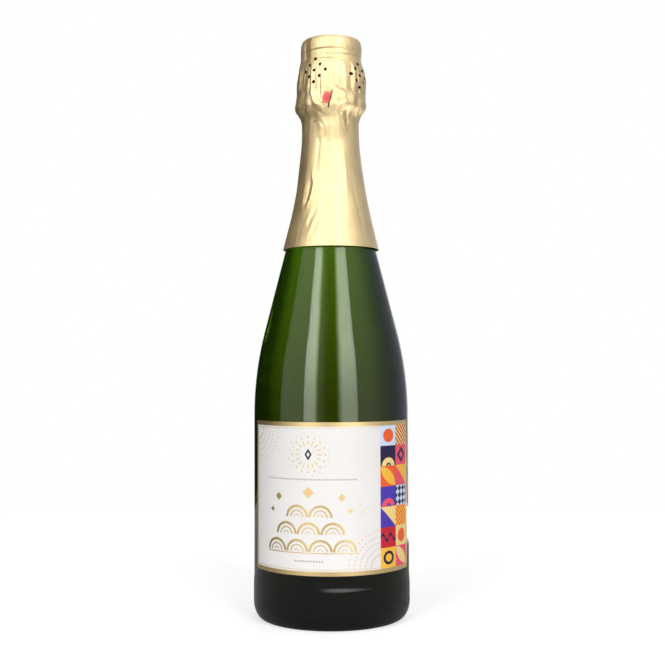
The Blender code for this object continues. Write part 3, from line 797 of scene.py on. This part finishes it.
def foilSway(turn, z):
    across = math.sin(turn) * fromTable(foil["sway"], z)
    return across if across > 0 else across * fromTable(foil["swayLeft"], z)


def smooth(share):
    share = min(max(share, 0), 1)
    return share * share * (3 - 2 * share)


def zone(number, low, lowSoft, high, highSoft):
    # 1 between two places, with a soft end at each
    return smooth((number - low) / lowSoft) * smooth((high - number) / highSoft)


def bell(away, width):
    return math.exp(-((away / width) ** 2))


def prepareCreases():
    # turns in radians, with the heights that each crease reaches
    made = []
    for line, depth, width in creases:
        points = [(math.radians(turn), z) for turn, z in line]
        heights = [z for turn, z in points]
        made.append((points, depth, width, min(heights) - 3 * width, max(heights) + 3 * width))
    return made


foilLines = prepareCreases()


def creaseLift(turn, z, radius):
    lift = 0
    for points, depth, width, low, high in foilLines:
        if not low < z < high:
            continue
        nearest, share = 9e9, 0
        pairs = list(zip(points, points[1:]))
        for index, ((turnA, zA), (turnB, zB)) in enumerate(pairs):
            gap = ((turn - turnA + math.pi) % (2 * math.pi) - math.pi) * radius
            across, up = (turnB - turnA) * radius, zB - zA
            reach = (gap * across + (z - zA) * up) / (across * across + up * up)
            reach = min(max(reach, 0), 1)
            away = math.hypot(gap - across * reach, z - zA - up * reach)
            if away < nearest:
                nearest, share = away, (index + reach) / len(pairs)
        if nearest < 4 * width:
            ends = zone(share, 0, foil["creaseEnds"], 1, foil["creaseEnds"])
            lift += depth * ends * math.exp(-((nearest / width) ** foil["creaseSharpness"]))
    return lift


def foilFacet(turn, z, radius):
    half = math.radians(foil["facetWidth"]) / 2
    away = turn - math.radians(fromTable(foil["facet"], z)) + half
    if abs(away) >= half:
        return 0
    return radius * (math.cos(half) / math.cos(away) - 1) * fromTable(foil["facetShare"], z)


def foilLift(turn, z, radius):
    # how far the foil stands out from its plain outline at a place
    lift = creaseLift(turn, z, radius) + foilFacet(turn, z, radius)
    calm = foil["calm"] * zone(turn, *(math.radians(limit) for limit in foil["calmTurns"]))
    zones = {
        "pleats": zone(z, *foil["pleatHeights"]) * (1 - calm),
        "waist": zone(z, *foil["waistHeights"]),
        "neck": smooth((270 - z) / 20),
        "crown": smooth((z - 309) / 3),
    }
    spot = Vector((math.sin(turn) * radius, -math.cos(turn) * radius, z))
    for where, shape, scale, shift, height in foil["crumples"]:
        if zones[where]:
            rough = noise.noise(spot * Vector(shape) * scale + Vector(shift))
            lift += rough * height * zones[where]
    aside, soft = (math.radians(limit) for limit in foil["frontTurns"])
    inFront = smooth((aside - abs(turn)) / soft)
    lift += foil["bulge"] * inFront * zone(z, *foil["bulgeHeights"])
    lift -= foil["hollow"] * inFront * zone(z, *foil["hollowHeights"])
    for height, depth, middle, width, least in foil["bands"]:
        depth *= least + (1 - least) * bell(turn - math.radians(middle), foil["bandReach"])
        above = z - height - foil["bandWave"] * math.sin(turn * 2 + height)
        lift -= depth * bell(above, width)
        lift += depth * foil["ridgeShare"] * bell(above - width - foil["ridge"], foil["ridge"])
    seam, wide = turn - math.radians(foil["seamTurn"]), foil["seamWidth"]
    seamed = zone(z, *foil["seamHeights"])
    if -wide < seam < 0:
        lift += foil["seamLift"] * smooth((seam + wide) / wide) * seamed
    for (depth, width), away, share in (
            (foil["seamGroove"], seam * radius, seamed),
            (foil["hem"], z - foil["lowerEdge"] - foil["hemHeight"], 1)):
        lift -= depth * bell(away, width) * share
    return lift


def shapeFoil(piece):
    shoulder, top = foil["shoulder"], foil["top"][-1][0]
    (scale, height), (softOut, softIn) = foil["topPleats"], foil["topSoft"]
    for vertex in piece.data.vertices:
        x, y, z = vertex.co / mm
        radius = math.hypot(x, y)
        turn = math.atan2(x, -y)
        lift = foilLift(turn, min(z, shoulder), radius) if z < top else 0
        if z > shoulder:
            pleat = noise.noise(Vector((math.sin(turn), math.cos(turn), 0)) * scale) * height
            lift = lift * smooth((top - z) / softOut) + pleat * smooth((z - shoulder) / softIn)
        grown = (radius + lift + foilSway(turn, z)) / radius
        vertex.co.x *= grown
        vertex.co.y *= grown


def makeFoilMaterial():
    material, tree, shader, place = newMaterial("goldFoil")
    stains, grain = (addNoise(tree, place, *foil[name]) for name in ("stains", "grain"))
    plugAll(tree, shader, {
        "Base Color": mixColour(tree, stains.rise(0.35, 0.7), *foil["tones"]),
        "Metallic": 1.0,
        "Roughness": grain * 0.1 + stains * 0.1 + 0.48,
        **foil["coat"],
    })
    addBump(tree, shader, stains * 0.7 + grain * 0.12, 0.25, 0.4)
    return material


goldFoil = makeFoilMaterial()
# inside of the foil, painted dark as shade
shadedFoilBack = makeMetal("shadedFoilBack", shadedFoilInside)


def foilSheet(name, outline, shaped=True):
    piece = spinOutline(name, outline, foil["around"])
    if shaped:
        shapeFoil(piece)
    startEdit(piece)
    bpy.ops.mesh.normals_make_consistent(inside=False)
    endEdit()
    level = Vector((1, 1, 0))
    turnOutwards(piece, lambda face: (face.center * level).normalized().dot(face.normal))
    piece.data.materials.append(goldFoil)
    piece.data.materials.append(shadedFoilBack)
    applyModifier(piece, "SOLIDIFY", thickness=foil["wall"] * mm, offset=-1, material_offset=1)
    return piece


def foilOutline(low, high, step):
    count = max(round(abs(high - low) / step), 1)
    return [(foilRadius(z), z) for z in spread(low, high, count)]


def cutSlit(piece):
    # the slit beside the tab, through the tear strip and down into the neck foil
    deselectAll()
    bpy.ops.mesh.primitive_grid_add(x_subdivisions=2, y_subdivisions=24, size=2 * mm)
    blade = bpy.context.object
    (lowTurn, low), (highTurn, high) = foil["slit"]
    for vertex in blade.data.vertices:
        a, b = vertex.co.x / mm, (vertex.co.y / mm + 1) / 2
        z = low + (high - low) * b
        width = foil["slitWidth"] * (0.25 + 0.75 * math.sin(math.pi * min(b + 0.12, 0.9)) ** 0.5)
        angle = front + math.radians(lowTurn + (highTurn - lowTurn) * b)
        angle += a * width / 2 / foilRadius(z)
        vertex.co = placeAt(foilRadius(z) + foil["cutDepth"] / 2, angle, z)
    applyModifier(blade, "SOLIDIFY", thickness=foil["cutDepth"] * mm, offset=-1)
    cutOut(piece, blade)


def cutVents(piece):
    made, step = [], foil["ventStep"]
    size = {"vertices": 20, "radius": foil["ventRadius"] * mm, "depth": foil["cutDepth"] * mm}
    for turn, height, wide in foil["vents"]:
        for row in (-1, 0, 1):
            for column in (-1, 0, 1):
                z = height + (row + column) * step
                angle = front + math.radians(turn) + (row - column) * step / foilRadius(z)
                deselectAll()
                spot = placeAt(foilRadius(z), angle, z)
                bpy.ops.mesh.primitive_cylinder_add(
                    location=spot, rotation=(0, math.pi / 2, angle), **size)
                bpy.context.object.scale.y = wide
                made.append(bpy.context.object)
    cutOut(piece, joinPieces(made))


def makeFoil():
    (low, high), gap, fine = foil["tear"], foil["tearGap"], foil["fineStep"]
    coarse = foil["coarseBelow"]
    neck = foilOutline(low - gap, coarse, fine)
    neck += foilOutline(coarse, foil["lowerEdge"], foil["coarseStep"])[1:]
    strip = foilOutline(high - gap, low + gap, fine)
    hood = [(radius, z) for z, radius in foil["top"][::-1]]
    hood += foilOutline(foil["shoulder"], high + gap, fine)
    for name, outline, cut, body, node in (
            ("neckFoil", neck, cutSlit, "bottle", "neck_foil"),
            ("foilTearStrip", strip, cutSlit, "hood", "tear_strip"),
            ("foilHood", hood, cutVents, "hood", "hood_skirt"),
            ("foilTopDisc", foil["topDisc"], None, "hood", "hood_top_disc")):
        piece = foilSheet(name, outline, shaped=bool(cut))
        if cut:
            cut(piece)
        finishPiece(piece, body, [node], sharp=60)


makeFoil()


# Front label, a sheet of paper bent round the glass
label = {
    "turns": (-70.0, 71.7),  # degrees round the bottle from its front
    "heights": (29.7, 110.2),
    "radius": 43.33,
    "wave": 0.02,
    "paper": 0.15,
    "border": 2.3,
    "hairline": (0.75, 1.0),
    "soft": 0.12,
    "wheel": (40.5, 63.5),  # middle of the round ornament
    "spokes": 16,
    "dashes": (4.8, 7.4),
    "dots": [(9.2, 0, 0.42, 0.62), (11.2, 0.5, 0.25, 0.42)],  # distance, shift and radii
    # height, start, end and shift of each row
    "scallops": [(12.6, 14.5, 66.5, 0), (21.6, 21, 60, 6.5), (30.6, 27.5, 53.5, 0)],
    "scallopPitch": 13,
    "scallopRings": [(5.1, 6.5), (3.2, 3.9), (1.2, 1.6)],
    "baseLine": (11.6, 12.1),
    # middle and size
    "lozenges": [(18, 34, 1.5), (22.6, 41, 2.1), (40.5, 43.6, 3.1), (58.4, 41, 2.1), (63, 34, 1.5)],
    "fans": [(3, 77), (81, 3.5)],
    "fanReach": (4.5, 20),
    "fanRows": 3.2,
    "specks": [(9.4, 22.5, 5.4, 5.6), (72.6, 33, 5.8, 6)],  # middle and how far they reach
    "rules": [(50.4, 14.2, 66.8), (7.6, 32.2, 48.8)],  # height, start and end
    "rulePitch": 1.5,
    "panel": 80.8,  # the coloured tiles start here, from the left edge
    "tile": (11.9, 10.85),
}
inks = {
    "yellow": (0.90, 0.50, 0.06),
    "sand": (0.88, 0.66, 0.28),
    "orange": (0.85, 0.12, 0.035),
    "pink": (0.82, 0.09, 0.16),
    "crimson": (0.55, 0.02, 0.035),
    "violet": (0.07, 0.045, 0.42),
    "navy": (0.018, 0.014, 0.06),
    "sky": (0.60, 0.72, 0.94),
    "paper": ((0.765, 0.75, 0.76), (0.785, 0.77, 0.78)),
    "copper": (0.76, 0.48, 0.33),
    "grey": (0.36, 0.33, 0.34),
    "black": (0.03, 0.025, 0.04),
    "gold": ((0.76, 0.57, 0.28), (0.82, 0.63, 0.33)),
}
# ground, motif and its ink for each tile, by row from the foot of the label
tiles = [
    ("yellow", "ring", "navy"), ("pink", "leaf", "sand"),
    ("crimson", "wave", "navy"), ("sand", "dot", "orange"),
    ("sand", "corner", "violet"), ("yellow", "stripes", "orange"),
    ("violet", "hill", "pink"), ("sky", "teeth", "navy"),
    ("orange", "leaf", "yellow"), ("yellow", "corner", "pink"),
    ("navy", "hill", "sand"), ("pink", "diamond", "navy"),
    ("sky", "dot", "orange"), ("sand", "stripes", "crimson"),
]


def fold(number, pitch):  # distance from the nearest whole multiple of the pitch
    return (number / pitch - (number / pitch + 0.5).floor()).size() * pitch


def printTiles(tree, u, v):
    width, height = label["tile"]
    column, row = (u - label["panel"]) / width, (v - label["border"]) / height
    a, b = column - column.floor(), row - row.floor()
    cell = column.floor().least(1) + row.floor() * 2
    soft = 0.012
    across, up = a - 0.5, b - 0.5
    fromMiddle, fromFoot = distance(across, up), distance(across, b)
    motifs = {
        "corner": (a + b).fall(1 - soft, 1 + soft),
        "leaf": distance(a, b).fall(0.97, 0.97 + soft)
        * distance(a.flip(), b.flip()).fall(0.97, 0.97 + soft),
        "dot": fromMiddle.fall(0.33, 0.33 + soft),
        "ring": fromMiddle.between(0.2, 0.34, soft),
        "stripes": fold(a + b, 0.25).rise(0.06, 0.06 + soft),
        "wave": (up - (a * 12.6).do("SINE") * 0.16).size().fall(0.07, 0.09),
        "hill": fromFoot.between(0.16, 0.42, soft).most(fromFoot.fall(0.06, 0.08)),
        "teeth": (fold(b, 0.334) - fold(a, 0.334)).rise(-soft, soft),
        "diamond": (across.size() + up.size()).between(0.18, 0.4, soft),
    }
    art = inks["sand"]
    for index, (ground, motif, ink) in enumerate(tiles):
        tile = mixColour(tree, motifs[motif], inks[ground], inks[ink])
        art = mixColour(tree, cell.do("COMPARE", index, 0.5), art, tile)
    return art


def printGold(tree, u, v, edge):
    # border, ornament, scallops and lozenges, all of which shine
    soft, border = label["soft"], label["border"]
    inner, outer = label["hairline"]
    hairline = edge.between(border + inner, border + outer, 0.06)
    gold = [edge.fall(border - 0.1, border + 0.1)]
    gold.append(hairline * u.fall(label["panel"] - 0.2, label["panel"]))

    # ornament near the top: a wheel of dashes and dots
    middleU, middleV = label["wheel"]
    pitch = 2 * math.pi / label["spokes"]
    reach, angle = distance(u - middleU, v - middleV), (v - middleV).do("ARCTAN2", u - middleU)
    gold.append(fold(angle, pitch).fall(0.035, 0.06) * reach.between(*label["dashes"], soft))
    for ring, shift, core, rim in label["dots"]:
        aside = fold(angle + pitch * shift, pitch) * reach
        gold.append(distance(reach - ring, aside).fall(core, rim))

    # scallops in three rows on a line, with lozenges over them
    pitch, (start, end) = label["scallopPitch"], label["scallops"][0][1:3]
    gold.append(v.between(*label["baseLine"], 0.08) * u.between(start, end, 0.1))
    for low, left, right, shift in label["scallops"]:
        up = v - low
        reach = distance(fold(u - start - pitch / 2 + shift, pitch), up)
        rings = [reach.between(*edges, soft) for edges in label["scallopRings"]]
        row = rings[0].most(*rings[1:])
        gold.append(row * up.rise(-0.05, 0.1) * u.between(left, right, 0.05))
    for centre, height, size in label["lozenges"]:
        gold.append(((u - centre).size() + (v - height).size()).fall(size - 0.1, size + 0.15))

    # loose specks at both sides of the scallops
    flat = addNode(tree, "CombineXYZ", {"X": u, "Y": v}).outputs[0]
    specks = addNode(tree, "TexVoronoi", {"Vector": flat, "Scale": 0.42, "Randomness": 0.9})
    left, right = (distance(u - centreU, v - centreV).fall(near, far)
                   for centreU, centreV, near, far in label["specks"])
    gold.append(Sum(tree, specks.outputs["Distance"]).fall(0.16, 0.22) * left.most(right))
    return gold[0].most(*gold[1:])


def makeLabelMaterial(width, height):
    material, tree, shader, place = newMaterial("printedLabel")
    u, v = addMap(tree, "labelMap")
    u, v = u * width, v * height
    grain, cloud = addNoise(tree, place, 900.0, 4.0), addNoise(tree, place, 40.0, 2.0)
    edge = u.least(u * -1 + width, v, v * -1 + height)
    gold = printGold(tree, u, v, edge)

    # dark lozenge inside the wheel
    middleU, middleV = label["wheel"]
    lozenge = (u - middleU).size() * 1.6 + (v - middleV).size()
    dark = lozenge.fall(3.0, 3.3) * lozenge.rise(1.2, 1.5)

    # fans of dots in two corners
    fans = []
    for centreU, centreV in label["fans"]:
        across, up = u - centreU, v - centreV
        reach = distance(across, up)
        beads = fold(up.do("ARCTAN2", across), math.pi / 24) * reach
        dots = distance(fold(reach, label["fanRows"]), beads).fall(0.34, 0.52)
        fans.append(dots * reach.between(*label["fanReach"], 0.2))
    panel = label["panel"]
    fans = fans[0].most(*fans[1:]) * u.fall(panel - 0.6, panel - 0.3) * edge.rise(3.4, 3.6)

    # dotted rule under the ornament, and a short one at the foot
    rules = [distance(fold(u, label["rulePitch"]), v - level).fall(0.36, 0.52)
             * u.between(start, end, 0.05) for level, start, end in label["rules"]]

    paper = mixColour(tree, cloud.rise(0.3, 0.7), *inks["paper"])
    for share, ink in ((fans * 0.85, "copper"), (rules[0].most(rules[1]), "grey"), (dark, "black")):
        paper = mixColour(tree, share, paper, inks[ink])
    printed = mixColour(tree, u.rise(panel - 0.04, panel + 0.04), paper, printTiles(tree, u, v))
    plugAll(tree, shader, {
        "Base Color": mixColour(tree, gold, printed, mixColour(tree, cloud, *inks["gold"])),
        "Metallic": gold,
        "Roughness": gold * -0.04 + grain * 0.08 + 0.46,
        "Specular IOR Level": 0.25,
    })
    addBump(tree, shader, grain * gold.flip() * 0.25 + gold * 0.5, 0.3, 0.06)
    return material


def makeLabel():
    (start, end), (low, high) = label["turns"], label["heights"]
    width, height = math.radians(end - start) * label["radius"], high - low
    deselectAll()
    bpy.ops.mesh.primitive_grid_add(x_subdivisions=160, y_subdivisions=24, size=mm)
    piece = bpy.context.object
    piece.name = "frontLabel"
    startEdit(piece)
    bpy.ops.transform.resize(value=(width, height, 1))
    endEdit()
    piece.data.uv_layers[0].name = "labelMap"
    for vertex in piece.data.vertices:
        across, up = vertex.co.x / mm, vertex.co.y / mm
        angle = front + math.radians((start + end) / 2) + across / label["radius"]
        wave = label["wave"] * noise.noise(Vector((across * 0.08, up * 0.08, 0)))
        vertex.co = placeAt(label["radius"] + wave, angle, (low + high) / 2 + up)
    applyModifier(piece, "SOLIDIFY", thickness=label["paper"] * mm, offset=1)
    paper = makeLabelMaterial(width, height)
    finishPiece(piece, "bottle", ["front_label"], paper, sharp=50)


makeLabel()


# Red tab over the foil, beside the slit
tab = {
    "corners": [(-13.9, 285.1), (-2.9, 284.6), (-10.6, 291.3), (0.9, 291.1)],  # turn and height
    "thickness": 0.16,
    "stand": 0.1,
    "worn": (0.86, 0.34, 0.24),
    "red": (0.80, 0.07, 0.09),
}


def makeTabMaterial():
    material, tree, shader, place = newMaterial("redTape")
    a, b = addMap(tree, "tabMap")
    blot = addNoise(tree, place, 420.0, 3.0)
    inside = a.least(b, b.flip()) + (blot - 0.5) * 0.3
    plugAll(tree, shader, {
        "Base Color": mixColour(tree, inside.rise(-0.05, 0.3), tab["worn"], tab["red"]),
        "Roughness": blot * 0.2 + 0.35,
    })
    addBump(tree, shader, blot, 0.2, 0.1)
    return material


def makeTab():
    deselectAll()
    bpy.ops.mesh.primitive_grid_add(x_subdivisions=24, y_subdivisions=36, size=2)
    piece = bpy.context.object
    piece.name = "redTearTab"
    piece.data.uv_layers[0].name = "tabMap"
    for vertex in piece.data.vertices:
        a, b = (vertex.co.x + 1) / 2, (vertex.co.y + 1) / 2
        turn, z = (
            (1 - b) * ((1 - a) * lowLeft + a * lowRight) + b * ((1 - a) * highLeft + a * highRight)
            for lowLeft, lowRight, highLeft, highRight in zip(*tab["corners"]))
        turn = math.radians(turn + 0.5 * math.sin(b * 9) * (1 - a))
        radius = foilRadius(z)
        radius += max(foilLift(turn, z, radius), -0.1) + tab["stand"]
        vertex.co = placeAt(radius, front + turn, z)
    applyModifier(piece, "SOLIDIFY", thickness=tab["thickness"] * mm, offset=1)
    finishPiece(piece, "tab", ["tear_tab"], makeTabMaterial(), sharp=50)


makeTab()


# Cork: a pressed body with two discs of whole cork under it
cork = {
    "top": 321.55,
    "headLow": 305.35,
    "headRadius": 14.35,
    "headRound": (2.8, 5.0),
    "radius": 8.6,
    "bodyLow": 293.35,
    "discs": [
        ("corkDiscUpper", "cork_disc_upper", 287.22, 293.28),
        ("corkDiscLower", "cork_disc_lower", 281.05, 287.15),
    ],
    "discRound": 0.5,
    "around": 96,
    "pressed": ((0.36, 0.20, 0.09), (0.66, 0.44, 0.24), 520.0, (1, 1, 1)),
    "whole": ((0.50, 0.30, 0.15), (0.70, 0.49, 0.29), 300.0, (1, 1, 2.6)),
}


def makeCorkMaterial(name, dark, light, scale, shape):
    material, tree, shader, place = newMaterial(name)
    mapped = addNode(tree, "Mapping", {"Vector": place, "Scale": shape}).outputs[0]
    given = {"Vector": mapped, "Scale": scale}
    grains = addNode(tree, "TexVoronoi", given)
    edges = addNode(tree, "TexVoronoi", given, feature="DISTANCE_TO_EDGE")
    fine = addNoise(tree, mapped, scale * 4, 5.0)
    shade = Sum(tree, addNode(tree, "SeparateColor", {"Color": grains.outputs["Color"]}).outputs[0])
    tone = mixColour(tree, shade * 0.6 + fine * 0.5, dark, light)
    seam = Sum(tree, edges.outputs["Distance"]).rise(0.0, 0.09)
    pits = (dark[0] * 0.35, dark[1] * 0.3, dark[2] * 0.25)
    plugAll(tree, shader, {
        "Base Color": mixColour(tree, seam.least(fine.rise(0.3, 0.42)), pits, tone),
        "Roughness": fine * 0.2 + 0.7,
    })
    addBump(tree, shader, seam * 0.6 + fine * 0.5, 0.5, 0.3)
    return material


def makeCork():
    pressed = makeCorkMaterial("pressedCork", *cork["pressed"])
    whole = makeCorkMaterial("wholeCork", *cork["whole"])
    (wide, tall), top = cork["headRound"], cork["top"]
    radius, head, low, foot = cork["radius"], cork["headRadius"], cork["headLow"], cork["bodyLow"]
    outline = [(0, top), (head - wide - 4, top)]
    outline += arc((head - wide, top - tall), wide, tall, 90, 0, 12)
    outline += [(head, 314.0), (head - 0.05, 311.0), (head - 0.15, 309.0), (head - 0.45, 307.4)]
    outline += arc((head - 2.6, low + 1.4), 2.0, 1.4, 0, -90, 6)
    outline += [(radius + 1.0, low), (radius + 0.05, low - 0.1), (radius, low - 1.2)]
    outline += [(radius, 300.0), (radius, 296.0)]
    outline += [(radius - 0.05, foot + 0.15), (radius - 0.2, foot), (0, foot)]
    piece = spinOutline("corkBody", outline, cork["around"])
    finishPiece(piece, "cork", ["cork_body"], pressed, sharp=50)
    small = cork["discRound"]
    for name, node, low, high in cork["discs"]:
        outline = [(0, high), (radius - 0.2, high), (radius, high - 0.15)]
        outline.append((radius, (low + high) / 2))
        outline += arc((radius - small, low + small), small, small, 0, -90, 4) + [(0, low)]
        piece = spinOutline(name, outline, cork["around"])
        finishPiece(piece, "cork", [node], whole, sharp=50)


makeCork()


# Cap plate of lacquered tin, with a stepped boss
plate = {
    "low": 321.85,
    "radius": 14.25,
    "wall": 0.3,
    "bossRadius": 9.2,
    "bossHeight": 1.1,
    "rimDrop": 0.9,
    "around": 144,
    "stains": (260, 4),
    "grain": (1500, 3),
    "tones": ((0.62, 0.42, 0.15), (0.80, 0.58, 0.26)),
    "metallic": 1.0,
    "roughness": (0.2, 0.2),
    "bump": (0.15, 0.05),
    "coat": {"Coat Weight": 0.8, "Coat Roughness": 0.1},
}


def makeCapPlate():
    low, radius, boss, drop = plate["low"], plate["radius"], plate["bossRadius"], plate["rimDrop"]
    high = low + plate["bossHeight"]
    outline = [
        (radius - 0.3, low - drop), (radius - 0.3, low - 0.4), (radius - 0.45, low - 0.1),
        (radius - 0.9, low), (boss + 0.4, low), (boss - 0.1, low + 0.08),
        (boss - 0.45, (low + high) / 2), (boss - 1.0, high - 0.08), (boss - 1.5, high), (3.0, high),
        (2.4, high - 0.15), (0, high - 0.16),
    ]
    piece = spinOutline("capPlate", outline, plate["around"])
    turnOutwards(piece, lambda face: face.normal.z * face.area)
    applyModifier(piece, "SOLIDIFY", thickness=plate["wall"] * mm, offset=1)
    lacquer = makeMetal("goldLacquer", plate, plate["coat"])
    finishPiece(piece, "cage", ["cap_plate"], lacquer)


makeCapPlate()


# Cage of steel wire: the solids' wires, made round
cage = {
    "wires": [  # name, node, body and how much thicker than the solid's six flat sides
        ("cageFrame", "cage_frame", "cage", 0.06),
        ("cageBelt", "cage_belt", "cage", 0.09),
        ("cageLoop", "cage_loop", "loop", 0.09),
    ],
    "stains": (140, 3),
    "grain": (900, 3),
    "tones": ((0.46, 0.46, 0.47), (0.70, 0.70, 0.71)),
    "metallic": 1.0,
    "roughness": (0.25, 0.2),
    "bump": (0.2, 0.05),
}


def makeCage():
    steel = makeMetal("cageWire", cage)
    for name, node, body, grown in cage["wires"]:
        piece = bpy.data.objects.new(name, nodes[node].data.copy())
        bpy.context.scene.collection.objects.link(piece)
        startEdit(piece)
        bpy.ops.mesh.remove_doubles(threshold=0.01 * mm)
        bpy.ops.mesh.tris_convert_to_quads()
        bpy.ops.mesh.normals_make_consistent(inside=False)
        bpy.ops.transform.shrink_fatten(value=grown * mm)
        endEdit()
        applyModifier(piece, "SUBSURF", levels=2, render_levels=2)
        finishPiece(piece, body, [node], steel)


makeCage()
